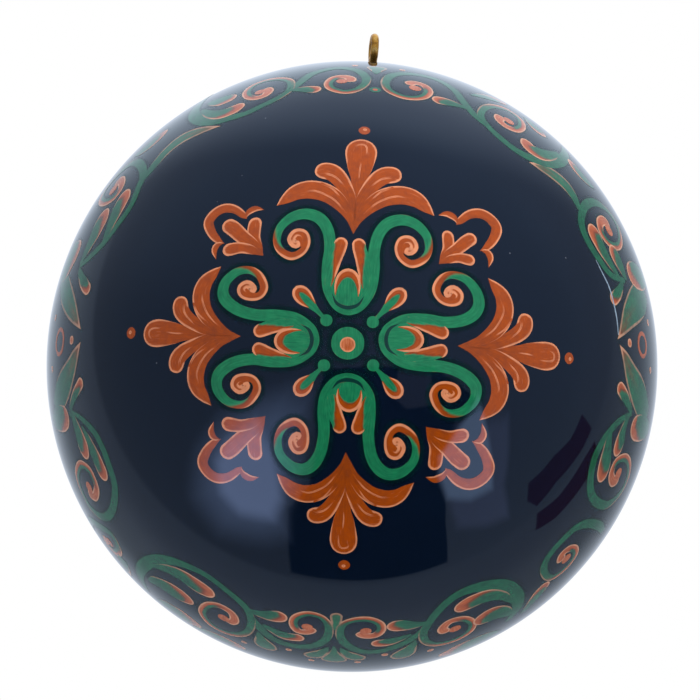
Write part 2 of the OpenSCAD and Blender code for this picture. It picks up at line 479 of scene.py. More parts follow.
SPRAY_ROOT = (14.4, 13.1)
SPRAY_PETALS = [
    [(14.4, 13.1, 0), (15.3, 14.3, 0.7), (16.2, 16, 1.0), (16.4, 17.6, 1.1), (16.3, 19.7, 1.05)],
    [(14.4, 13.1, 0), (16, 14.6, 0.9), (18.2, 16.3, 1.15), (20, 17.8, 1.25), (21.8, 18.9, 1.15)],
    [(14.4, 13.1, 0), (16.3, 14, 0.7), (18.2, 14.4, 0.9), (19.8, 14.2, 1.05), (21.3, 13.9, 1.0)],
]
SPRAY_BRACKET = [(17.9, 19.5, 0), (18.5, 20.1, 0.5), (20.2, 21.3, 0.7), (22.1, 21.6, 0.85), (23.7, 20.8, 0.9),
                 (24.6, 19.2, 0.9), (23.8, 17.3, 0.75), (22.5, 15.9, 0.55), (21.2, 15.2, 0)]
SPRAY_TAILS = [
    [(18.1, 19.6, 0), (17.7, 20.7, 0.5), (16.6, 21.3, 0.5), (15.2, 21.1, 0)],
    [(21.3, 15.3, 0), (22.4, 15, 0.5), (22.8, 14, 0.5), (22.3, 12.5, 0)],
]
# Each corner's spray: mirrored or not, its turn, where its root lies, the share of the full size and
# the twist outwards in degrees of its petals, then of its bracket, and the bracket's shift in mm.
Spray = namedtuple("Spray", "flip turn root petals bracket shift")
SPRAYS = [
    Spray(-1, 0, (14.4, 13.1), (1.0, 0), (1.0, 0), (0, 0)),
    Spray(1, 0, (13.3, 13.6), (0.87, 5), (1.05, 8), (0, 0)),
    Spray(1, 180, (12.2, 12.1), (1.06, 6), (1.03, 3), (0.4, 1.7)),
    Spray(-1, 180, (12.9, 12.1), (1.04, 0), (1.12, 3), (0.3, -0.9)),
]


def paint_spray(work, spray):
    """A corner spray: three petals from one root, and a bracket with two tails round them."""
    def place(points):
        return on_front(points, spray.turn)

    def hand(points, size, twist, aside=0, out=0):
        a = math.radians(twist)
        laid = []
        for x, y, w in points:
            u, v = (x - SPRAY_ROOT[0]) * size, (y - SPRAY_ROOT[1]) * size
            x = spray.root[0] + u * math.cos(a) - v * math.sin(a) + aside
            y = spray.root[1] + v * math.cos(a) + u * math.sin(a) + out
            laid.append((spray.flip * x, y, w * size))
        return laid

    for layer, petal in enumerate(SPRAY_PETALS, 1):
        work.stroke(hand(petal, *spray.petals), place, spray_petal, order=layer)
    for layer, points in enumerate((SPRAY_BRACKET, *SPRAY_TAILS)):
        line = hand(points, *spray.bracket, *spray.shift)
        work.stroke(line, place, bracket_tones, round_head=False, order=min(layer, 1), side=spray.flip)


# A drop of the rosette pointing up from (0, 0): x in mm, y as a share of its length, half width in mm.
ROSETTE_DROP = [(0, 0, 0.3), (0, 0.25, 0.35), (0, 0.5, 0.75), (0, 0.75, 1.1), (0, 1.0, 1.05)]
ROSETTE_BOW = [(-0.6, 0.46, 0.05), (-0.85, 0.66, 0.42), (-0.68, 0.83, 0.6), (0, 0.91, 0.68),
               (0.68, 0.83, 0.6), (0.85, 0.66, 0.42), (0.55, 0.42, 0.05)]
# Where each drop starts, and where its head lies.
ROSETTE_AIMS = [(-3.6, 3.2, -8.9, 8.1), (3.5, 3.4, 8.1, 8.9), (-3.5, -3.7, -7.6, -8.4), (4, -3.2, 8.6, -7.7)]
ROSETTE_HEART = (-0.1, -0.1, 2.5)
ROSETTE_DOT = (-0.1, -0.3, 1.15)
ROSETTE_BUD_R = 0.92


def paint_rosette(work, shades, place):
    """The centre: a green dab with a peach dot, and four buds with a drop pointing outwards from each."""
    shades.shadow(disc(*ROSETTE_HEART), place, ROSETTE_SHADE)
    work.stroke(disc(*ROSETTE_HEART), place, plain_green, round_tail=True)
    work.stroke(disc(*ROSETTE_DOT), place, peach_dot_and_highlight, round_tail=True, order=1)
    for x, y, head_x, head_y in ROSETTE_AIMS:
        length = math.hypot(head_x - x, head_y - y)
        right, up = (head_y - y) / length, (head_x - x) / length

        def aimed(points):
            return [(x + u * right + v * length * up, y - u * up + v * length * right, w)
                    for u, v, w in points]
        bud = disc(x, y, ROSETTE_BUD_R)
        work.stroke(bud, place, plain_green, round_tail=True, order=1)
        work.stroke(aimed(ROSETTE_DROP), place, plain_green)
        work.stroke(aimed(ROSETTE_BOW), place, bow_tones, order=2, round_head=False)
        shades.shadow(bud, place, BUD_SHADE)


def medallion(back, enamel, glaze):
    """The front medallion in four pieces of paint and one of shades, or the same mirrored onto the
    back."""
    step = MEDALLION_BACK_STEP if back else MEDALLION_STEP
    ending = "_back" if back else ""
    palmettes = Paintwork("medallion_palmettes" + ending, step)
    lyres = Paintwork("medallion_lyres" + ending, step)
    sprays = Paintwork("corner_sprays" + ending, step)
    rosette = Paintwork("centre_rosette" + ending, step)
    shades = Paintwork("medallion_shades" + ending, MEDALLION_SHADE_STEP)
    for arm in ARMS:
        paint_palmette(palmettes, arm)
        paint_lyre(lyres, shades, arm)
    for spray in SPRAYS:
        paint_spray(sprays, spray)
    paint_rosette(rosette, shades, on_front)
    shades.build(glaze, back)
    for work in (palmettes, lyres, sprays, rosette):
        work.build(enamel, back)


# ---------------------------------------------------------------- the wreath

def wreath_scroll(s, t):
    """Green; orange under a thin peach line comes in from the outer side and fills the curl's end."""
    outside = smooth(s, 0.56, 0.76) * smooth(t, -0.5, 0.3)
    line = smooth(s, 0.5, 0.6) * smooth(t, 0.0, 0.5)
    end = smooth(s, 0.86, 0.94)
    return 0.5 + 0.45 * np.maximum(outside, end), 0.34 * np.maximum(line, end)


def wreath_petal(s, t):
    """Green that warms to orange down the outer side and all over the head, with a peach rim."""
    warm = np.maximum(smooth(s + 0.35 * t, 0.55, 1.1), smooth(s, 0.72, 0.95))
    down_side = smooth(t, 0, 0.5) * smooth(s, 0.1, 0.35)
    return 0.5 + 0.45 * warm, 0.36 * np.maximum(smooth(s, 0.55, 0.8), down_side)


def pale_drop(s, t):
    """Pale green inside a peach rim, a little browner at the head."""
    return 0.56 + 0.1 * smooth(s, 0.75, 1), 0.42 * smooth(s, 0.15, 0.45)


def wreath_leaf(s, t):
    """Green that browns along its middle and to the tip, rimmed with peach lines."""
    warm = smooth(s - 0.4 * np.abs(t), 0.1, 0.8)
    return 0.5 + 0.17 * warm + 0.1 * smooth(s, 0.8, 1), 0.5 * smooth(s, 0.1, 0.5)


# The last drop of both lower quarters.
LOW_DROP = [(88.8, 67.6, 0.1), (88, 69.6, 0.8), (86.8, 71.6, 1.4), (85.6, 72.9, 1.4)]

# The four quarters: degrees along from the side axis, degrees out from the front, half width in mm.
# Curls run from stem to heart, petals and drops from tail to head, leaves from base to tip. Hearts
# and dots are (along, out, radius in mm). The side and end axes lie at these degrees round the front.
QUARTERS = {
    "low_left": {
        "axes": (-179.4, -89.4),
        "curls": [
            [(14.5, 64.5, 0.3), (16.5, 61, 0.45), (20, 57.7, 0.65), (23.5, 56.6, 0.7), (27.5, 56.7, 0.75),
             (32.5, 58.3, 0.75), (35.8, 63.1, 0.75), (36.2, 69.1, 0.75), (32.7, 74, 0.7), (27, 73.2, 0.65),
             (24.8, 68.2, 0.6), (26.8, 64.7, 0.6), (30.4, 65.1, 0.65), (31.7, 68.2, 0.7), (30.3, 70.4, 0.8)],
            [(35.5, 84, 0.6), (34.6, 80, 0.8), (36.6, 75.5, 0.8), (39.4, 71.8, 0.75), (42.4, 73.6, 0.7),
             (42.4, 77.6, 0.7), (40.2, 79, 0.7), (38.7, 77, 0.7)],
            [(51.5, 81, 0.3), (49, 76, 0.8), (48.3, 71, 1.1), (48.9, 65.6, 1.15), (51, 60.9, 1.0),
             (55, 57.7, 0.75), (60.3, 56.2, 0.6), (66, 57.2, 0.6), (71, 59.8, 0.65), (73, 64.5, 0.7),
             (72.3, 70, 0.7), (69.4, 73.6, 0.7), (65.6, 73.8, 0.65), (63, 70, 0.6), (63.3, 65.6, 0.6),
             (65.5, 63.3, 0.6), (68.4, 63.7, 0.65), (69.5, 66.2, 0.7), (68.3, 68.3, 0.8)],
            [(70.5, 59.4, 0.3), (73.8, 63.7, 0.7), (77.3, 67.7, 0.8), (81.4, 69.2, 0.8), (85.4, 68, 0.8),
             (88.2, 64.4, 0.75), (88.9, 59.8, 0.7), (87.3, 56.6, 0.6), (84.2, 55.9, 0.6), (81.7, 57.6, 0.6),
             (81.3, 60.2, 0.6), (82.6, 62.4, 0.65), (84.7, 62, 0.7), (85.5, 60.4, 0.8)]],
        "petals": [
            [(15.2, 65.8, 0.3), (13, 64.2, 0.6), (11.2, 61.9, 0.85), (10.2, 60.3, 0.95), (9.2, 58.9, 0.95)],
            [(14.3, 79, 0.6), (14.6, 75.5, 1.8), (14.9, 71, 2.2), (15, 68.4, 1.9)],
            [(14, 64.9, 0.3), (17, 64, 1.0), (20, 63.6, 1.6), (22, 63.6, 1.8), (23.3, 63.6, 1.5)],
            [(18, 61.5, 0.2), (21.5, 60.4, 0.9), (25, 60, 1.4), (28, 60, 1.5), (29.4, 60.1, 1.3)],
            [(49.5, 66.5, 0.2), (52.5, 63, 1.0), (56, 61.2, 1.6), (60, 61, 1.9), (62.6, 60.8, 1.5)],
            [(50.8, 73.5, 0.3), (52.4, 70.8, 1.4), (55.2, 69.2, 2.1), (57.8, 68.5, 2.1), (59.3, 68.3, 1.6)],
            [(54.6, 82.5, 0.6), (56.8, 80, 2.2), (59.5, 79.2, 2.8), (62, 79.6, 2.0)],
            [(62.5, 83, 0.5), (66, 80.5, 1.5), (69, 79.6, 1.7), (72, 80.5, 1.2)],
            [(71.5, 60, 0.3), (74.3, 60, 1.0), (76.8, 59.4, 1.5), (78.5, 58.7, 1.5)],
            [(75.2, 63.4, 0.3), (77.8, 64.7, 0.9), (80.3, 65.5, 1.3), (82.9, 65, 1.2)],
            [(44, 76.6, 1.1), (45, 78.5, 1.2), (46, 80.5, 0.9), (47, 82.5, 0.2)]],
        "drops": [
            [(74.6, 66.8, 0.1), (75.2, 68.8, 0.7), (76.2, 71.5, 1.7), (77, 73.4, 1.8)],
            LOW_DROP],
        "leaves": [
            [(12, 74.5, 1.0), (10.8, 70.6, 2.4), (8.6, 66.4, 2.7), (6, 63, 2.0), (3, 60.5, 1.1),
             (0.6, 58.6, 0)]],
        "hearts": [(29.6, 68.6, 1.0), (40.2, 76.4, 0.9), (67.3, 67.2, 1.0), (84.3, 60.4, 0.9)],
        "dots": [(72.5, 75.4, 0.5), (81.2, 71.8, 0.5), (85.7, 76, 0.5)],
    },
    "low_right": {
        "axes": (6.5, -89.4),
        "curls": [
            [(13.1, 65.8, 0.4), (15.6, 60.9, 0.6), (19.6, 57.7, 0.75), (24, 56.8, 0.8), (28, 58.4, 0.8),
             (30.6, 61.5, 0.8), (31.2, 66, 0.8), (30, 71.3, 0.75), (26, 75, 0.7), (22.6, 73.4, 0.65),
             (21.2, 69, 0.6), (22.6, 65.2, 0.6), (25.2, 65.2, 0.7), (26.2, 67.6, 0.8), (25, 69.6, 0.9)],
            [(34.5, 78, 0.5), (34.2, 73.5, 0.8), (35.2, 67.6, 0.85), (37.4, 64, 0.8), (40.8, 62.8, 0.75),
             (44.6, 63, 0.75), (47, 65, 0.75), (47.7, 68.6, 0.7), (46.8, 72, 0.65), (44, 73.4, 0.65),
             (41.4, 72.6, 0.6), (40.4, 70, 0.6), (41.2, 67.4, 0.65), (43, 66.9, 0.75), (43.9, 68.8, 0.85)],
            [(57.9, 77, 0.5), (55.3, 73.2, 1.0), (54.3, 67.8, 1.3), (55.1, 62, 1.4), (57.8, 58.3, 1.3),
             (62, 56.2, 1.0), (66.1, 56.6, 0.8), (70, 59.6, 0.75), (73, 64.5, 0.75), (73.1, 69, 0.75),
             (71.2, 72.2, 0.7), (68, 73.2, 0.7), (65, 71.8, 0.65), (63.8, 68.3, 0.6), (65, 64.9, 0.6),
             (67.6, 63.9, 0.65), (69.4, 65.6, 0.75), (68.9, 67.9, 0.85)],
            [(70.8, 60.8, 0.4), (73.4, 64.3, 0.7), (76, 66.8, 0.75), (79, 68.7, 0.8), (82, 69.8, 0.8),
             (85.3, 69, 0.8), (88, 65.4, 0.75), (89, 61.6, 0.7), (88.4, 58.5, 0.65), (86.2, 56.9, 0.6),
             (83.3, 56.8, 0.6), (81.1, 58.5, 0.6), (80.9, 60.9, 0.65), (82.3, 62.6, 0.7), (84.4, 62.4, 0.75),
             (85.2, 61, 0.8)]],
        "petals": [
            [(13, 65.4, 0.4), (11.2, 62.9, 0.9), (9.9, 60.6, 1.15), (9.1, 59.1, 1.1)],
            [(14.3, 80, 0.6), (14.8, 76, 1.8), (15.2, 71, 2.2), (15.3, 68.6, 1.9)],
            [(13.8, 64.6, 0.3), (16.5, 63.6, 1.0), (19, 63.7, 1.6), (20.6, 63.8, 1.5)],
            [(17.5, 59, 0.3), (20.5, 59.4, 1.1), (23.5, 60.6, 1.7), (25.5, 61.6, 1.8), (26.4, 62.1, 1.5)],
            [(55, 78, 0.4), (52.6, 75.4, 1.1), (50.4, 73.3, 1.5), (49, 72.4, 1.3)],
            [(55.6, 68.5, 0.3), (56.6, 64, 1.0), (59.3, 61, 1.6), (62.5, 60.3, 1.8), (64.8, 60.5, 1.5)],
            [(57, 74, 0.5), (58, 70.8, 1.7), (60, 68.9, 2.4), (61.8, 68.6, 2.1)],
            [(60, 82, 0.8), (63.5, 80.2, 2.6), (67, 80.6, 3.0), (69.6, 81.4, 2.0)],
            [(72, 61.4, 0.3), (74.5, 61.2, 1.1), (77, 60.4, 1.6), (78.4, 60, 1.5)],
            [(75.4, 64.4, 0.3), (77.8, 65.4, 0.9), (80.2, 66, 1.3), (82, 65.9, 1.2)]],
        "drops": [
            [(74.8, 67.2, 0.1), (75.6, 69.4, 0.8), (77, 72.2, 1.8), (78, 74, 1.9)],
            LOW_DROP],
        "leaves": [
            [(12, 75.5, 1.0), (10.8, 71, 2.5), (8.6, 66.8, 2.8), (6, 63.2, 2.1), (3, 60.6, 1.1),
             (0.6, 58.4, 0)]],
        "hearts": [(24.6, 68.4, 1.1), (42.8, 69.8, 1.0), (67.2, 67.6, 1.0), (83.9, 60.8, 0.9)],
        "dots": [(72.6, 74.7, 0.55), (80.8, 72, 0.55), (85.8, 75.6, 0.5)],
    },
    "top_left": {
        "axes": (180.6, 88.6),
        "curls": [
            [(15, 65.8, 0.4), (17.6, 62, 0.6), (21.2, 58.9, 0.7), (26.2, 57.3, 0.7), (30.2, 57, 0.7),
             (34, 58.8, 0.75), (37, 61, 0.8), (38.4, 65.4, 0.8), (38, 71, 0.75), (35, 74.6, 0.7),
             (31, 75.8, 0.7), (28.8, 73.4, 0.65), (28.6, 69, 0.6), (30.2, 66, 0.6), (32.6, 66.2, 0.7),
             (33.8, 68.8, 0.75), (33, 71.2, 0.85)],
            [(57.9, 81.9, 0.4), (54.4, 74.1, 0.9), (52.8, 68.6, 1.1), (53.2, 63, 1.15), (55.4, 59.2, 1.0),
             (58.6, 57.3, 0.85), (62.1, 56.3, 0.7), (66, 56.8, 0.65), (69.7, 58, 0.65), (72.4, 60.4, 0.65),
             (72.8, 64.6, 0.65), (71.2, 67.6, 0.65), (68.6, 69.4, 0.65), (65.8, 69, 0.6), (64, 66.4, 0.6),
             (63.8, 63.4, 0.6), (65, 61.2, 0.6), (67, 60.9, 0.65), (68.1, 62.6, 0.75), (67.3, 64.2, 0.85)],
            [(70.5, 58.6, 0.4), (72.7, 60.4, 0.7), (75, 63.4, 0.75), (77.2, 66.9, 0.8), (79.8, 68.9, 0.8),
             (82.7, 69.7, 0.8), (86, 67.6, 0.8), (87.9, 63.4, 0.75), (87.9, 60, 0.7), (86.3, 57.2, 0.65),
             (83.6, 56.2, 0.6), (80.9, 57.9, 0.6), (80.3, 60.4, 0.6), (81.5, 63, 0.65), (83.5, 63.6, 0.7),
             (84.9, 62.4, 0.75), (84.5, 60.8, 0.85)]],
        "petals": [
            [(14.4, 65.6, 0.4), (12.5, 62.8, 0.9), (11.2, 60.4, 1.1), (10.5, 58.9, 1.0)],
            [(13.4, 79, 1.4), (14.8, 76.4, 3.0), (16.4, 73.8, 3.3), (17.6, 72, 2.6)],
            [(15.4, 66, 0.3), (18.5, 65.2, 1.2), (21.8, 64.8, 1.9), (24.5, 65.1, 2.2), (26, 65.4, 1.9)],
            [(20.5, 59.4, 0.3), (24, 59.8, 1.1), (27.6, 60.6, 1.7), (30.4, 61.4, 1.9), (31.6, 61.9, 1.6)],
            [(39.5, 74, 0.4), (41.5, 71.8, 1.4), (44, 71, 1.6), (46.2, 71.4, 1.1)],
            [(54.6, 68.6, 0.3), (55.4, 63.8, 1.0), (57.4, 60.8, 1.5), (59.8, 60.1, 1.6), (61.4, 60.3, 1.3)],
            [(56.6, 71, 0.4), (57.8, 69, 1.4), (59.4, 67.2, 1.9), (60.4, 66.5, 1.6)],
            [(72.4, 59.8, 0.3), (74.6, 59.4, 0.9), (76.4, 58.7, 1.2), (77.6, 58.1, 1.2)]],
        "drops": [],
        "leaves": [
            [(12.6, 76.5, 0.8), (11.4, 73, 1.8), (9.2, 69, 2.2), (6.8, 65, 1.9), (4.4, 61.7, 1.1),
             (2.1, 58.9, 0)],
            [(35.5, 59.6, 0.5), (39.5, 60.2, 1.0), (44, 61.2, 1.4), (48, 61, 1.6), (51.8, 59, 1.1),
             (55.9, 56.2, 0)]],
        "hearts": [(31.6, 69.6, 1.1), (66.4, 63.4, 0.9), (83.1, 61.2, 0.9)],
        "dots": [(85.6, 72, 0.5)],
    },
    "top_right": {
        "axes": (6.5, 88.6),
        "curls": [
            [(14.1, 64.9, 0.4), (15.8, 59.8, 0.6), (19.9, 57.3, 0.75), (25, 56.1, 0.8), (29.6, 57.2, 0.8),
             (32.7, 61.6, 0.8), (33, 67, 0.8), (30.7, 72.2, 0.7), (26.9, 74, 0.7), (23.6, 71.5, 0.65),
             (22, 67.8, 0.6), (22.9, 64.1, 0.6), (25.6, 62.8, 0.7), (28, 64.2, 0.75), (28.3, 66.8, 0.8),
             (27, 68.6, 0.9)],
            [(46.8, 78.2, 0.5), (45.1, 72.7, 0.9), (44.5, 66.5, 1.1), (45.8, 61.2, 1.1), (48.7, 58, 0.95),
             (52.4, 56.3, 0.8), (57, 56.3, 0.7), (61, 57.4, 0.65), (64.2, 59.6, 0.65), (65, 63.4, 0.65),
             (63.8, 68, 0.65), (60.6, 71.8, 0.65), (57.4, 71, 0.6), (55.8, 67.2, 0.6), (56.2, 63.6, 0.6),
             (58.4, 62.2, 0.65), (60.6, 63, 0.75), (60.8, 65.4, 0.85)],
            [(61.5, 57.4, 0.4), (65.6, 59, 0.7), (69.6, 62.6, 0.75), (73, 67.4, 0.75), (77.2, 70.4, 0.8),
             (82, 70, 0.8), (86, 67.2, 0.8), (87.8, 62.8, 0.75), (87.4, 59.2, 0.7), (85.5, 57.1, 0.65),
             (82, 56.3, 0.6), (78.7, 58, 0.6), (77.7, 61.2, 0.65), (79, 63.8, 0.65), (81.4, 64.2, 0.7),
             (82.9, 62.4, 0.8)]],
        "petals": [
            [(13.8, 63.6, 0.4), (11.9, 61.4, 0.9), (10.8, 59.6, 1.1), (10.1, 58.1, 1.1)],
            [(14.5, 82, 0.8), (14.8, 76, 2.2), (15.3, 71.5, 2.4), (15.5, 69.6, 2.0)],
            [(15, 62.8, 0.3), (18.5, 60.9, 1.0), (22, 59.9, 1.5), (25.4, 59.7, 1.8), (27.2, 59.9, 1.6)],
            [(14.2, 65.8, 0.3), (16.7, 65.2, 1.2), (19.4, 64.6, 1.7), (21.2, 64.2, 1.6)],
            [(36, 73.5, 0.4), (38.5, 71.8, 1.4), (41, 71.4, 1.6), (43, 72, 1.1)],
            [(46.2, 69.6, 0.3), (46.8, 65.2, 1.1), (48.6, 61.8, 1.6), (51, 60.9, 1.7), (52.6, 61.6, 1.4)],
            [(56.8, 75.4, 0.4), (55, 73.8, 1.1), (53, 72.6, 1.6), (52, 72.4, 1.4)],
            [(69, 68.4, 0.1), (66.8, 71.5, 0.9), (64.5, 74.6, 1.2), (62.8, 76.8, 1.0)],
            [(68, 60.2, 0.3), (71, 60, 0.9), (73.5, 59.4, 1.3), (75.2, 58.8, 1.3)]],
        "drops": [],
        "leaves": [
            [(10.8, 76.5, 1.2), (10.4, 72.6, 2.6), (8.8, 68, 2.9), (6.2, 63.4, 2.2), (3.2, 60.2, 1.1),
             (0.6, 57.7, 0)],
            [(32.5, 59.2, 0.4), (36, 60.4, 1.1), (39.5, 60.6, 1.6), (43, 59.4, 1.5), (46, 57.6, 0.9),
             (48.6, 56, 0)]],
        "hearts": [(26, 67, 1.1), (58.8, 65.4, 1.0), (80.9, 61.4, 1.0)],
        "dots": [(84.8, 71.9, 0.5)],
    },
}
WREATH_HEART_TONE = 0.96
WREATH_SHADE = 0.75            # mm that the dark glaze reaches past the strokes
SIDE_DOTS = [(0, 62.5, 0.7), (5, 74.3, 0.55), (-5, 74.3, 0.55)]
SIDE_RING = (0, 69, 2.3)
RING_HALF = 0.33               # half width of the ring's line, in mm
LOW_BUDS = [[(90.2, 60.4, 0.4), (90.3, 58, 0.8), (90.3, 56, 1.0), (90.3, 54.8, 0.9)],
            [(90, 67, 0.15), (90, 69.4, 0.6), (90, 72, 1.6), (90, 74.6, 2.3), (90, 75.8, 2.2)]]
TOP_BUD = [(90.2, 66, 0.2), (90.2, 68.5, 1.1), (90.2, 71, 1.9), (90.2, 72, 2.0)]
TOP_DOT = (89.9, 57.6)
# A painted reflection: a thin bright line that the gloss mirrors, laid as a pale stroke.
REFLECTED_HAIRLINE = [(20, 56, 0.04), (16.5, 56.7, 0.1), (13, 57.6, 0.14), (9, 57.9, 0.14), (5.5, 58.1, 0.12),
            (1.6, 58, 0.08)]


def quarter_place(quarter):
    """The function that lays a quarter's own (along, out) on the ball."""
    start, end = QUARTERS[quarter]["axes"]
    return lambda points: on_wreath(points, start, end)


def pressed(points):
    """The brush pressed down towards the end of a curl, so that its last turn is broader."""
    shares = np.linspace(0, 1, len(points))
    return [(along, out, w * (1 + 0.2 * smooth(share, 0.5, 0.75)))
            for share, (along, out, w) in zip(shares, points)]


def winding(points):
    """1 where a stroke's end bends from along towards out, -1 where it bends the other way."""
    along, out = np.array(points)[-10:, :2].T
    return 1 if np.sum(along * np.roll(out, -1) - out * np.roll(along, -1)) > 0 else -1


def headed(points):
    """The stroke carried on past its last point by most of its round head's radius."""
    (x0, y0, _), (x, y, w) = points[-2:]
    step = math.degrees(0.8 * w / BALL_R) / math.hypot(x - x0, y - y0)
    return points + [(x + (x - x0) * step, y + (y - y0) * step, 0.9 * w)]


def degree_disc(along, out, r):
    """A round dab of radius r mm at a place of the wreath."""
    step = math.degrees(r / BALL_R)
    return [(along, out - step, 0.98 * r), (along, out, r), (along, out + step, 0.98 * r)]


def paint_quarter(scrolls, petals, shades, quarter):
    """A quarter of the wreath: curls and their hearts, petals, drops, leaves and dots."""
    marks = QUARTERS[quarter]
    place = quarter_place(quarter)
    start, end = marks["axes"]
    side = 1 if end > start else -1
    curls = [pressed(points) for points in marks["curls"]]
    heads = [headed(points) for points in marks["petals"]]
    drops = [headed(points) for points in marks["drops"]]
    for heart in marks["hearts"]:
        scrolls.stroke(degree_disc(*heart), place, flat(WREATH_HEART_TONE), round_tail=True, order=2)
    for points in curls:
        scrolls.stroke(points, place, wreath_scroll, order=1, side=side * winding(points))
    for points in heads:
        petals.stroke(points, place, wreath_petal, order=2, side=side * winding(points))
    for points in drops:
        petals.stroke(points, place, pale_drop, order=2)
    for points in marks["leaves"]:
        petals.stroke(points, place, wreath_leaf, round_head=False)
    for points in curls + heads + drops + marks["leaves"]:
        shades.shadow(points, place, WREATH_SHADE)
    for dot in marks["dots"]:
        petals.stroke(degree_disc(*dot), place, peach_dot_and_highlight, round_tail=True)


def paint_axis_marks(work, quarter):
    """Ring and dots at the quarter's side axis, buds at its end."""
    place = quarter_place(quarter)
    for dot in SIDE_DOTS:
        work.stroke(degree_disc(*dot), place, peach_dot_and_highlight, round_tail=True)
    along, out, r = SIDE_RING
    turns = np.linspace(0, 2 * math.pi, 13)
    ring = [(along + 1.08 * r * math.cos(a), out + r * math.sin(a), RING_HALF) for a in turns]
    work.stroke(ring, place, plain_orange, round_head=False)
    for bud in LOW_BUDS if quarter.startswith("low") else [TOP_BUD]:
        work.stroke(bud, place, pale_drop, order=1)
    if quarter.startswith("top"):
        work.stroke(degree_disc(*TOP_DOT, 0.95), place, plain_green, round_tail=True)
        work.stroke(degree_disc(*TOP_DOT, 0.4), place, plain_orange, round_tail=True, order=1)


def wreath(back, enamel, glaze):
    """The wreath's lower and upper half in three pieces each and its axis marks in one, in front or
    mirrored onto the back."""
    step = WREATH_BACK_STEP if back else WREATH_STEP
    ending = "_back" if back else ""
    for half in ("low", "top"):
        scrolls = Paintwork("wreath_scrolls_" + half + ending, step)
        petals = Paintwork("wreath_petals_" + half + ending, step)
        shades = Paintwork("wreath_shades_" + half + ending, WREATH_SHADE_STEP)
        for quarter in QUARTERS:
            if quarter.startswith(half):
                paint_quarter(scrolls, petals, shades, quarter)
        shades.build(glaze, back)
        scrolls.build(enamel, back)
        petals.build(enamel, back)
    marks = Paintwork("wreath_axis_marks" + ending, step)
    paint_axis_marks(marks, "low_left")
    paint_axis_marks(marks, "top_right")
    marks.build(enamel, back)


def painted_reflection_hairline(material):
    """A painted reflection: a pale hairline of mirrored light over the gloss along the wreath's inner edge,
    front right.
    """
    reflection_line = Paintwork("painted_reflection_hairline", 0.3)
    reflection_line.stroke(REFLECTED_HAIRLINE, quarter_place("top_right"), plain_green, order=6)
    reflection_line.build(material)


# ---------------------------------------------------------------- node trees

class Value:
    """A node's output that can be calculated with: each +, - or * adds a Math node to its graph."""

    def __init__(self, graph, socket):
        self.graph = graph
        self.socket = socket

    def __add__(self, other):
        return self.graph.calc("ADD", self, other)

    def __sub__(self, other):
        return self.graph.calc("SUBTRACT", self, other)

    def __rsub__(self, other):
        return self.graph.calc("SUBTRACT", other, self)

    def __mul__(self, other):
        return self.graph.calc("MULTIPLY", self, other)


class Graph:
    """A node tree, emptied to be built up one node at a time."""

    def __init__(self, tree):
        tree.nodes.clear()
        self.nodes = tree.nodes
        self.links = tree.links

    def feed(self, node, inputs):
        """Feeds a node's inputs, by name or number, with Values, plain numbers or colours."""
        for name, value in inputs.items():
            socket = node.inputs[name]
            if isinstance(value, Value):
                self.links.new(value.socket, socket)
            elif socket.type == "RGBA":
                socket.default_value = (*value, 1)
            else:
                socket.default_value = value

    def node(self, kind, inputs=None, **settings):
        """A new node with its settings made and its inputs fed."""
        node = self.nodes.new(kind)
        for name, value in settings.items():
            setattr(node, name, value)
        self.feed(node, inputs or {})
        return node

    def value(self, kind, inputs=None, output=0, **settings):
        """One output of a new node."""
        return Value(self, self.node(kind, inputs, **settings).outputs[output])

    def values(self, node):
        """All outputs of a node by their names."""
        return {socket.name: Value(self, socket) for socket in node.outputs}

    def calc(self, operation, a, b):
        """A Math node on two Values or numbers."""
        return self.value("ShaderNodeMath", {0: a, 1: b}, operation=operation)

    def ramp(self, fac, stops):
        """A colour ramp through (position, colour) stops."""
        node = self.node("ShaderNodeValToRGB", {"Fac": fac})
        elements = node.color_ramp.elements
        while len(elements) < len(stops):
            elements.new(0.5)
        for element, (position, colour) in zip(elements, stops):
            element.position = position
            element.color = (*colour, 1)
        return Value(self, node.outputs["Color"])

    def span(self, value, low, high, to_low=0.0, to_high=1.0):
        """A smooth Map Range of value from low..high to to_low..to_high."""
        limits = {"From Min": low, "From Max": high, "To Min": to_low, "To Max": to_high}
        return self.value("ShaderNodeMapRange", {"Value": value, **limits}, interpolation_type="SMOOTHSTEP")

    def mix(self, fac, a, b):
        """A mix of two colours."""
        return self.value("ShaderNodeMix", {0: fac, 6: a, 7: b}, 2, data_type="RGBA")

    def mapped(self, vector, inputs):
        """A vector moved or scaled by a Mapping node."""
        return self.value("ShaderNodeMapping", {"Vector": vector, **inputs})

    def noise(self, vector, scale, detail=3.0, stretch=(1, 1, 1)):
        """Noise over a vector, stretched axis by axis."""
        place = self.mapped(vector, {"Scale": stretch})
        return self.value("ShaderNodeTexNoise", {"Vector": place, "Scale": scale, "Detail": detail}, "Fac")

    def object_place(self):
        """The place on the object, in metres."""
        return self.value("ShaderNodeTexCoord", output="Object")

    def use(self, group, **sources):
        """The outputs of a node group that runs on these sources."""
        return self.values(self.node("ShaderNodeGroup", sources, node_tree=group))


# ---------------------------------------------------------------- finishes

INK = (0.001, 0.010, 0.014)
TEAL = (0.003, 0.045, 0.030)
DEEP_GREEN = (0.006, 0.115, 0.05)
GREEN = (0.008, 0.155, 0.064)
PALE_GREEN = (0.02, 0.19, 0.08)
OLIVE = (0.10, 0.12, 0.045)
RUST = (0.19, 0.034, 0.003)
ORANGE = (0.30, 0.050, 0.002)
LIGHT_ORANGE = (0.47, 0.14, 0.055)
PEACH = (0.64, 0.25, 0.125)
PALE_PEACH = (0.56, 0.29, 0.18)
PALE_ORANGE = (0.36, 0.075, 0.018)
DIRT = (0.006, 0.010, 0.018)
DUST = (0.10, 0.11, 0.13)

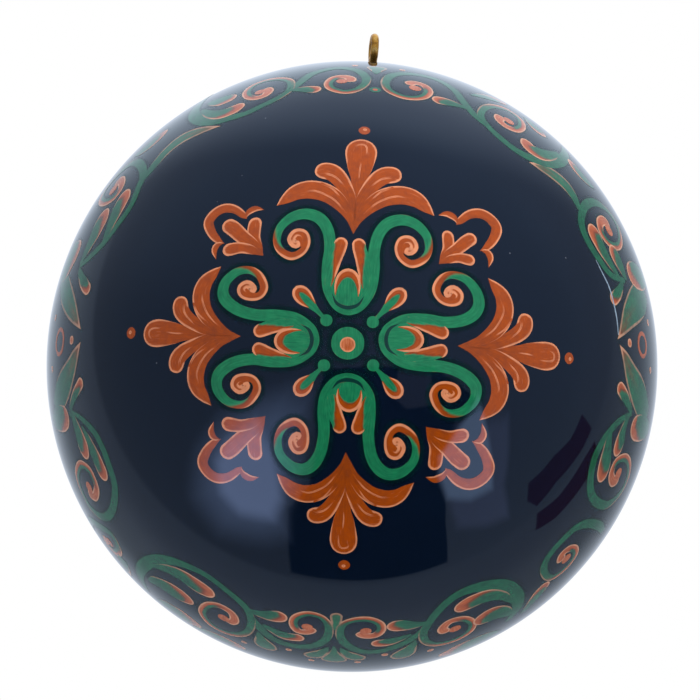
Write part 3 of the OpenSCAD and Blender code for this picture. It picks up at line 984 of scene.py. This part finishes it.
STREAK_TONE = 0.26             # how far a brush streak shifts the tone
STREAK_RIM = 0.3               # how many mm it shifts the peach rim
THIN_SHARE = 0.42              # how much navy shows through the wreath's green
MEDALLION_GLOSS = 0.38         # how much of the ground's gloss lies over the dark glaze
WREATH_GLOSS = 0.85


def new_material(name, kind="ShaderNodeBsdfPrincipled"):
    """A material with nothing but its shader and output: (material, its graph, its shader)."""
    material = bpy.data.materials.new(name)
    material.use_nodes = True
    graph = Graph(material.node_tree)
    shader = graph.node(kind)
    graph.node("ShaderNodeOutputMaterial", {"Surface": Value(graph, shader.outputs[0])})
    return material, graph, shader


def new_group(name, inputs, outputs):
    """A node group of vector inputs and float outputs: (group, its graph, its inputs, its end)."""
    group = bpy.data.node_groups.new(name, "ShaderNodeTree")
    for socket in inputs:
        group.interface.new_socket(socket, in_out="INPUT", socket_type="NodeSocketVector")
    for socket in outputs:
        group.interface.new_socket(socket, in_out="OUTPUT", socket_type="NodeSocketFloat")
    graph = Graph(group)
    return group, graph, graph.values(graph.node("NodeGroupInput")), graph.node("NodeGroupOutput")


def brush_wear_group():
    """How a brush leaves paint: Lean swings either way from 0 in streaks along the trail, and Blot is
    the share of dirt that has settled in the paint."""
    group, graph, given, end = new_group("brush_wear", ("Trail", "Place"), ("Lean", "Blot"))
    streak = graph.noise(given["Trail"], 1.0, 4.0, (0.5, 4.5, 1))
    blot = graph.noise(given["Place"], 900)
    graph.feed(end, {"Lean": streak - 0.5, "Blot": graph.span(blot, 0.3, 0.75, 0.0, 0.2)})
    return group


def lacquer_dust_group():
    """Fine dust caught in the lacquer: Speck is the share that a dust grain covers."""
    group, graph, given, end = new_group("lacquer_dust", ("Place",), ("Speck",))
    grain = graph.value("ShaderNodeTexVoronoi", {"Vector": given["Place"], "Scale": 150}, "Distance")
    graph.feed(end, {"Speck": graph.span(grain, 0.012, 0.026, 0.8, 0.0)})
    return group


def under_clear_lacquer(graph, shader, colour, gloss=1.0):
    """Matt colour under a hard clear gloss, the same on the ground and on the paint."""
    graph.feed(shader, {
        "Base Color": colour, "Roughness": 0.5, "Specular IOR Level": 0.0,
        "Coat Weight": gloss, "Coat Roughness": 0.03, "Coat IOR": 1.5})


def paint_parts(graph):
    """The strokes' own numbers: tone, reach of the rim in mm, distance to the edge in mm."""
    paint = graph.value("ShaderNodeAttribute", output="Color", attribute_name="paint")
    tone, reach, edge = graph.values(graph.node("ShaderNodeSeparateColor", {"Color": paint})).values()
    return tone, reach * REACH_SPAN, edge * EDGE_SPAN


def enamel_material(name, wear, dust, thinness, orange, peach):
    """Brushed enamel: green to orange by the strokes' tone, peach where the rim reaches, broken up
    by streaks that run along each stroke. Thin enamel lets the navy through."""
    material, graph, shader = new_material(name)
    tone, reach, edge = paint_parts(graph)
    place = graph.object_place()
    trail = graph.value("ShaderNodeUVMap", uv_map="trail")
    worn = graph.use(wear, Trail=trail, Place=place)
    colour = graph.ramp(tone + worn["Lean"] * STREAK_TONE, [
        (0.0, INK), (0.28, TEAL), (0.44, DEEP_GREEN), (0.5, GREEN), (0.57, PALE_GREEN),
        (0.65, OLIVE), (0.74, RUST), (0.89, orange), (0.93, orange), (1.0, LIGHT_ORANGE)])
    rim = graph.span(reach - edge + worn["Lean"] * STREAK_RIM, -0.03, 0.2, 0.0, 0.85)
    colour = graph.mix(rim, colour, peach)
    thin = worn["Blot"] + graph.span(tone, 0.6, 0.8, thinness, 0.0)
    colour = graph.mix(thin, colour, DIRT)
    speck = graph.use(dust, Place=place)["Speck"]
    under_clear_lacquer(graph, shader, graph.mix(speck, colour, DUST))
    return material


def glaze_material(name, gloss):
    """Dark glaze round the strokes, thinning outwards from the stroke's edge. Its underside is
    clear, so the ground keeps its own gloss beneath it."""
    material, graph, shader = new_material(name)
    edge = paint_parts(graph)[2]
    underside = graph.value("ShaderNodeNewGeometry", output="Backfacing")
    graph.feed(shader, {"Alpha": graph.span(edge, 0.0, 0.75, 0.0, 0.95) * (1.0 - underside)})
    cloud = graph.noise(graph.object_place(), 200)
    colour = graph.mix(cloud, (0.0004, 0.0070, 0.0085), (0.0008, 0.0110, 0.0125))
    under_clear_lacquer(graph, shader, colour, gloss)
    return material


def ground_material(dust):
    """Navy ground under clear lacquer, a trace uneven."""
    material, graph, shader = new_material("navy_lacquer")
    place = graph.object_place()
    colour = graph.mix(graph.noise(place, 60, 4.0), (0.0013, 0.0038, 0.0115), (0.0021, 0.0054, 0.0155))
    speck = graph.use(dust, Place=place)["Speck"]
    under_clear_lacquer(graph, shader, graph.mix(speck, colour, DUST))
    return material


def brass_material():
    """Bright brass wire, toned darker in patches."""
    material, graph, shader = new_material("brass_wire")
    patch = graph.noise(graph.object_place(), 900, 4.0)
    colour = graph.ramp(patch, [(0.3, (0.34, 0.14, 0.02)), (0.5, (0.80, 0.38, 0.06)),
                                (0.7, (0.95, 0.56, 0.16))])
    graph.feed(shader, {"Base Color": colour, "Metallic": 0.8,
                        "Roughness": graph.span(patch, 0.3, 0.8, 0.42, 0.2)})
    return material


def wood_material(name, pale, dark, ring_scale):
    """Turned wood: growth rings as bands through the block, with fine pores."""
    material, graph, shader = new_material(name)
    place = graph.object_place()
    rings = graph.value("ShaderNodeTexWave", {
        "Vector": place, "Scale": ring_scale, "Distortion": 3.0, "Detail": 3.0,
    }, "Fac", wave_type="RINGS", rings_direction="Z")
    pores = graph.noise(place, 2500, 3.0, (1, 1, 0.08))
    colour = graph.mix(rings, pale, dark)
    colour = graph.mix(graph.span(pores, 0.5, 0.8, 0.0, 0.4), colour, dark)
    graph.feed(shader, {"Base Color": colour, "Roughness": 0.7})
    return material


def cloudy_material(name, scale, detail, dark, pale, roughness):
    """A matt material that wanders between two colours."""
    material, graph, shader = new_material(name)
    cloud = graph.noise(graph.object_place(), scale, detail)
    graph.feed(shader, {"Base Color": graph.mix(cloud, dark, pale), "Roughness": roughness})
    return material


def refinish(node, material):
    """Gives a carried-over node its material in every slot."""
    node_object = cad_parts[node]
    node_object.data.materials.clear()
    node_object.data.materials.append(material)


# ---------------------------------------------------------------- the lacquer skin

def lacquer_skin(material):
    """The coat as a fine closed skin: outer and inner spheres of radius 50 and 49.7 mm, turned round
    Z from a half profile that goes down the outside, and up the inside to the screw eye's hole."""
    turns = 320                # points round each ring
    inner_r = BALL_R - COAT_T
    mouth = math.asin(EYE_MOUTH_R / BALL_R)
    shoulder = mouth + 0.1     # the rings lie closer together from the mouth down to here
    down = np.concatenate([np.linspace(mouth, shoulder, 9)[:-1], np.linspace(shoulder, math.pi, 158)[:-1]])
    up = np.linspace(math.pi, math.asin(EYE_MOUTH_R / inner_r), 80)[1:]
    around = np.linspace(0, 2 * math.pi, turns, endpoint=False)

    def turned(angles, r):
        tilt, turn = np.meshgrid(angles, around, indexing="ij")
        rings = np.stack([np.sin(tilt) * np.cos(turn), np.sin(tilt) * np.sin(turn), np.cos(tilt)], axis=2)
        return r * rings.reshape(-1, 3)

    outer_pole = len(down) * turns
    inner_foot = outer_pole + 1
    inner_pole = inner_foot + len(up) * turns
    outer_foot, inner_lip = outer_pole - turns, inner_pole - turns
    places = np.vstack([turned(down, BALL_R), [[0, 0, -BALL_R]], turned(up, inner_r), [[0, 0, -inner_r]]])
    col = np.arange(turns)
    beside = (col + 1) % turns
    lip = np.stack([inner_lip + col, col, beside, inner_lip + beside], axis=1)
    quads = np.concatenate([ring_quads(len(down), turns), ring_quads(len(up), turns, inner_foot), lip])
    fans = np.concatenate([fan(outer_pole, outer_foot, turns)[:, ::-1], fan(inner_pole, inner_foot, turns)])
    skin = add_mesh("lacquer_skin", (places + CENTRE) * MM, quads.tolist() + fans.tolist(), material)
    skin.data.polygons.foreach_set("use_smooth", np.ones(len(skin.data.polygons), bool))
    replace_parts(lacquer_piece(skin), "lacquer_coat")


# ---------------------------------------------------------------- camera, floor and light

CAMERA_SIDE = 0.95             # degrees towards +X
CAMERA_RISE = -4.35            # degrees: the camera stands a little low
CAMERA_ROLL = 3.9
CAMERA_AWAY = 700.0
CAMERA_LENS = 219.4
AIM_RIGHT = -0.33
AIM_UP = 2.71

ROOM_R = 1.2                   # the mirrored room's dome, in metres
EDGE_STEPS = 6                 # stretches of a panel's edge between two corners
PANEL_RINGS = 8                # rings of a panel from its middle out
LEAST_FADE = 0.01              # share of the way out over which even a hard edge fades
FLOOR_HALF = 1.6
FLOOR_Z = -0.15
LAMP_PLACE = (0.2, -0.5, 0.85)
LAMP_SIZE = 0.9
LAMP_POWER = 16


def photo_camera():
    """Camera on the photograph's side of the ball, turned about its own axis, long lens."""
    side, rise, roll = (math.radians(a) for a in (CAMERA_SIDE, CAMERA_RISE, CAMERA_ROLL))
    towards = np.array([math.sin(side) * math.cos(rise), -math.cos(side) * math.cos(rise), math.sin(rise)])
    level = unit(np.cross(-towards, [0, 0, 1]))
    upright = np.cross(level, -towards)
    up = upright * math.cos(roll) - level * math.sin(roll)
    right = level * math.cos(roll) + upright * math.sin(roll)
    place = (CENTRE + towards * CAMERA_AWAY + right * AIM_RIGHT + up * AIM_UP) * MM
    data = bpy.data.cameras.new("photo_camera")
    data.lens = CAMERA_LENS
    data.sensor_width = 36
    data.clip_start = 0.01
    data.clip_end = 50
    camera = add_object("photo_camera", data)
    axes = np.stack([right, up, towards, place], axis=1)
    camera.matrix_world = Matrix(np.vstack([axes, [0, 0, 0, 1]]).tolist())
    bpy.context.scene.camera = camera


def soft_lamp():
    """A square area lamp above the camera that points at the ball and isn't mirrored in it."""
    data = bpy.data.lights.new("overhead_softbox", "AREA")
    data.shape = "SQUARE"
    data.size = LAMP_SIZE
    data.energy = LAMP_POWER
    lamp = add_object("overhead_softbox", data)
    lamp.location = LAMP_PLACE
    aim = Vector((CENTRE * MM).tolist()) - Vector(LAMP_PLACE)
    lamp.rotation_mode = "QUATERNION"
    lamp.rotation_quaternion = aim.to_track_quat("-Z", "Y")
    lamp.visible_glossy = False


def white_room():
    """World: white for the camera and for reflections, softer and a trace cool for lighting."""
    world = bpy.data.worlds.new("white_room")
    bpy.context.scene.world = world
    world.use_nodes = True
    graph = Graph(world.node_tree)
    ray = graph.values(graph.node("ShaderNodeLightPath"))
    seen = graph.calc("MAXIMUM", ray["Is Camera Ray"], ray["Is Glossy Ray"])
    seen = graph.calc("MAXIMUM", seen, ray["Is Transmission Ray"])
    lighting = graph.value("ShaderNodeBackground", {"Color": (0.97, 0.99, 1.0), "Strength": 0.42})
    shown = graph.value("ShaderNodeBackground", {"Color": (1, 1, 1), "Strength": 1.0})
    blend = graph.value("ShaderNodeMixShader", {"Fac": seen, 1: lighting, 2: shown})
    graph.node("ShaderNodeOutputWorld", {"Surface": blend})


def only_mirrored(panel):
    """Staged, and seen only in reflections."""
    panel.visible_camera = False
    panel.visible_diffuse = False
    panel.visible_transmission = False
    panel.visible_volume_scatter = False
    panel.visible_shadow = False


def facing(azimuth, elevation):
    """Unit vector of a direction seen from the ball: azimuth 0 is the photographer's, 90 is +X."""
    a, e = math.radians(azimuth), math.radians(elevation)
    return np.array([math.sin(a) * math.cos(e), -math.cos(a) * math.cos(e), math.sin(e)])


def room_glow():
    """The dome's glow by direction: dim in front, a step brighter behind the table's edge, and
    brightest overhead."""
    material, graph, glow = new_material("room_glow", "ShaderNodeEmission")
    span = graph.span
    direction = graph.mapped(graph.object_place(), {
        "Location": (0, 0, -CENTRE[2] * MM / ROOM_R), "Scale": (1 / ROOM_R, 1 / ROOM_R, 1 / ROOM_R)})
    x, y, z = graph.values(graph.node("ShaderNodeSeparateXYZ", {0: direction})).values()
    past_edge = y - (z + 1) * 0.32
    step = span(past_edge, -0.02, 0.04, 0.0, 0.13) * span(x, -0.1, 0.5, 1.0, 0.35)
    behind = span(y, 0.2, 0.85, 0.26, 0.44) + span(y, 0.7, 1.0, 0.0, 0.36)
    rising = (span(z, -0.6, 0.6, 0.58, 1.2) - 1.0) * span(y, 0.45, 0.75)
    corner = span(z - x * 0.45, 0.55, 0.95, 1.0, 1.28)
    behind = behind * (rising + 1.0) * corner * span(x, 0.2, 0.9, 1.0, 0.82)
    front = span(x, -0.1, 0.5, 0.0, 0.1) + span(z, 0.0, 0.9, 0.0, 0.07)
    front = front * span(y, 0.0, 0.6, 1.0, 0.0)
    overhead = span(z + y * 0.7, 0.88, 1.15, 0.0, 0.4)
    tint = graph.ramp(y, [(0.0, (0.52, 0.68, 0.92)), (0.35, (0.58, 0.71, 0.93)),
                          (0.8, (0.72, 0.86, 1.02)), (1.0, (0.84, 0.92, 1.06))])
    tint = graph.value("ShaderNodeVectorMath", {0: tint, "Scale": span(y, 0.0, 1.0, 1.45, 1.08)},
                       operation="SCALE")
    graph.feed(glow, {"Color": tint, "Strength": step + behind + front + overhead})
    return material


def room_shell():
    """The studio as the ball mirrors it: a dome round the ball, open to the white room behind."""
    rows, cols = 60, 96
    open_angle = np.linspace(0.02, math.radians(174), rows)
    around = np.linspace(0, 2 * math.pi, cols, endpoint=False)
    a, b = np.meshgrid(open_angle, around, indexing="ij")
    dome = np.stack([np.sin(a) * np.cos(b), -np.cos(a), np.sin(a) * np.sin(b)], axis=2).reshape(-1, 3)
    faces = ring_quads(rows, cols).tolist() + [list(range(cols))]
    only_mirrored(add_mesh("room_shell", dome * ROOM_R + CENTRE * MM, faces, room_glow()))


def panel_glow(name, colour, soft):
    """Even light that fades out over the soft share of the way to the panel's edge."""
    material, graph, glow = new_material(name, "ShaderNodeEmission")
    graph.feed(glow, {"Color": colour, "Strength": 1.0})
    outward = graph.value("ShaderNodeAttribute", output="Fac", attribute_name="outward")
    clear = graph.value("ShaderNodeBsdfTransparent")
    fading = graph.span(outward, 1 - soft - LEAST_FADE, 1.0)
    fade = graph.value("ShaderNodeMixShader", {"Fac": fading, 1: Value(graph, glow.outputs[0]), 2: clear})
    graph.feed(graph.nodes["Material Output"], {"Surface": fade})
    return material


def mirrored_panel(name, corners, colour, nearness, soft):
    """A studio panel seen only in the gloss, at nearness metres from the ball, between corner
    directions (azimuth, elevation): straight-edged, a fan of rings from its middle out."""
    rim = np.array([facing(*corner) for corner in corners])
    step = np.linspace(0, 1, EDGE_STEPS, endpoint=False)[None, :, None]
    rim = unit((rim[:, None] * (1 - step) + np.roll(rim, -1, axis=0)[:, None] * step).reshape(-1, 3))
    hub = unit(rim.mean(axis=0))
    share = np.linspace(0, 1, PANEL_RINGS + 1)[1:, None, None]
    rings = unit(hub * (1 - share) + rim * share)
    count = len(rim)
    places = np.vstack([hub[None], rings.reshape(-1, 3)]) * nearness + CENTRE * MM
    faces = ring_quads(len(share), count, 1).tolist() + fan(0, 1, count).tolist()
    panel = add_mesh(name, places, faces, panel_glow(name, colour, soft))
    shares = np.concatenate([[0], np.repeat(share.ravel(), count)]).astype(np.float32)
    outward = panel.data.attributes.new(name="outward", type="FLOAT", domain="POINT")
    outward.data.foreach_set("value", shares)
    only_mirrored(panel)


# What the gloss mirrors, each by its corners, its level of light, its nearness in metres, and the share
# of the way to its edge over which it fades: a soft window low on the left, a weaker one on the right,
# the dark stand under the camera with a gap of light beside it, and two dark bars.
DARK_BAR = (0.1, 0.028, 0.055)
PANELS = {
    "left_window_glow": (
        [(-52, -18), (-38, -12), (-18, -6), (-9, -10), (-11, -32), (-14, -44), (-28, -60), (-42, -72),
         (-72, -70), (-95, -56), (-88, -42), (-68, -28)],
        (0.85, 1.2, 2.1), 1.12, 0.6),
    "left_window": (
        [(-50, -27), (-34, -20), (-27, -32), (-27, -45), (-29, -55), (-44, -63), (-66, -56), (-68, -46),
         (-60, -34)],
        (1.75, 2.4, 4.2), 1.10, 0.4),
    "right_window_glow": (
        [(40, -17), (62, -10), (76, -33), (93, -40), (87, -47), (72, -54), (58, -50), (40, -36)],
        (0.45, 0.57, 0.95), 1.08, 0.3),
    "right_window": (
        [(48, -7), (54, -16), (61, -25), (73, -37), (66, -44), (53, -47), (42, -40), (38, -32), (43, -19)],
        (1.1, 1.6, 2.6), 1.06, 0.25),
    "dark_stand": (
        [(-32, -56), (-87, -77), (-32, -89), (90, -75), (92, -60), (62, -52), (52, -44), (41, -32),
         (47, -21), (49, -10), (30, -1), (5, -3), (-9, -5), (-12, -18), (-12, -35), (-17, -48)],
        (0.006, 0.02, 0.036), 1.15, 0.03),
    "stand_gap": (
        [(17, -3), (29, -2), (31, -8), (33, -15), (22, -18), (16, -14)], (0.17, 0.2, 0.3), 1.13, 0.15),
    "dark_bar_near": (
        [(97, -7), (105, -9), (104, -14), (99, -25), (98, -33), (91, -34), (85, -30), (88, -25), (90, -20),
         (95, -14)], DARK_BAR, 1.12, 0.04),
    "dark_bar_far": (
        [(109, -11), (116, -13), (115, -19), (113, -30), (109, -36), (101, -34), (105, -27), (106, -21),
         (107, -16)], DARK_BAR, 1.12, 0.04),
}


def pale_floor():
    """A plain pale floor, 46 mm under the hanging ball."""
    corners = [(-1, -1), (1, -1), (1, 1), (-1, 1)]
    places = [(x * FLOOR_HALF, y * FLOOR_HALF, FLOOR_Z) for x, y in corners]
    matt = cloudy_material("pale_floor", 3, 2.0, (0.80, 0.80, 0.80), (0.84, 0.84, 0.84), 0.8)
    floor = add_mesh("pale_floor", places, [(0, 1, 2, 3)], matt)
    floor.visible_glossy = False


# ---------------------------------------------------------------- putting it together

def build_studio():
    """Camera, light, and what the gloss mirrors."""
    photo_camera()
    white_room()
    room_shell()
    for name, panel in PANELS.items():
        mirrored_panel(name, *panel)
    pale_floor()
    soft_lamp()


def build_ornament():
    """The lacquer skin and the brushwork over it, in front and mirrored on the back."""
    wear, dust = brush_wear_group(), lacquer_dust_group()
    enamel = enamel_material("brushed_enamel", wear, dust, 0.0, ORANGE, PEACH)
    thin_enamel = enamel_material("thin_enamel", wear, dust, THIN_SHARE, PALE_ORANGE, PALE_PEACH)
    glaze = glaze_material("dark_glaze", MEDALLION_GLOSS)
    gloss_glaze = glaze_material("gloss_glaze", WREATH_GLOSS)
    lacquer_skin(ground_material(dust))
    for back in (False, True):
        medallion(back, enamel, glaze)
        wreath(back, thin_enamel, gloss_glaze)
    # The hairline's pale blue-grey colour is painted reflected light.
    painted_reflection_hairline(cloudy_material("reflected_light_paint", 1500, 3.0, (0.10, 0.15, 0.22), (0.35, 0.45, 0.55), 0.5))


def refinish_inside():
    """Materials for the solids that are carried over as they are."""
    limewood = wood_material("limewood", (0.72, 0.55, 0.36), (0.58, 0.42, 0.25), 40)
    hardwood = wood_material("hardwood", (0.50, 0.31, 0.16), (0.30, 0.17, 0.08), 90)
    glue = cloudy_material("dried_glue", 500, 3.0, (0.52, 0.40, 0.20), (0.68, 0.56, 0.32), 0.45)
    refinish("upper_shell", limewood)
    refinish("lower_shell", limewood)
    refinish("crown_plug", hardwood)
    refinish("glue_seam", glue)
    refinish("screw_eye", brass_material())


bpy.context.scene.view_settings.view_transform = "Standard"
build_studio()
build_ornament()
refinish_inside()
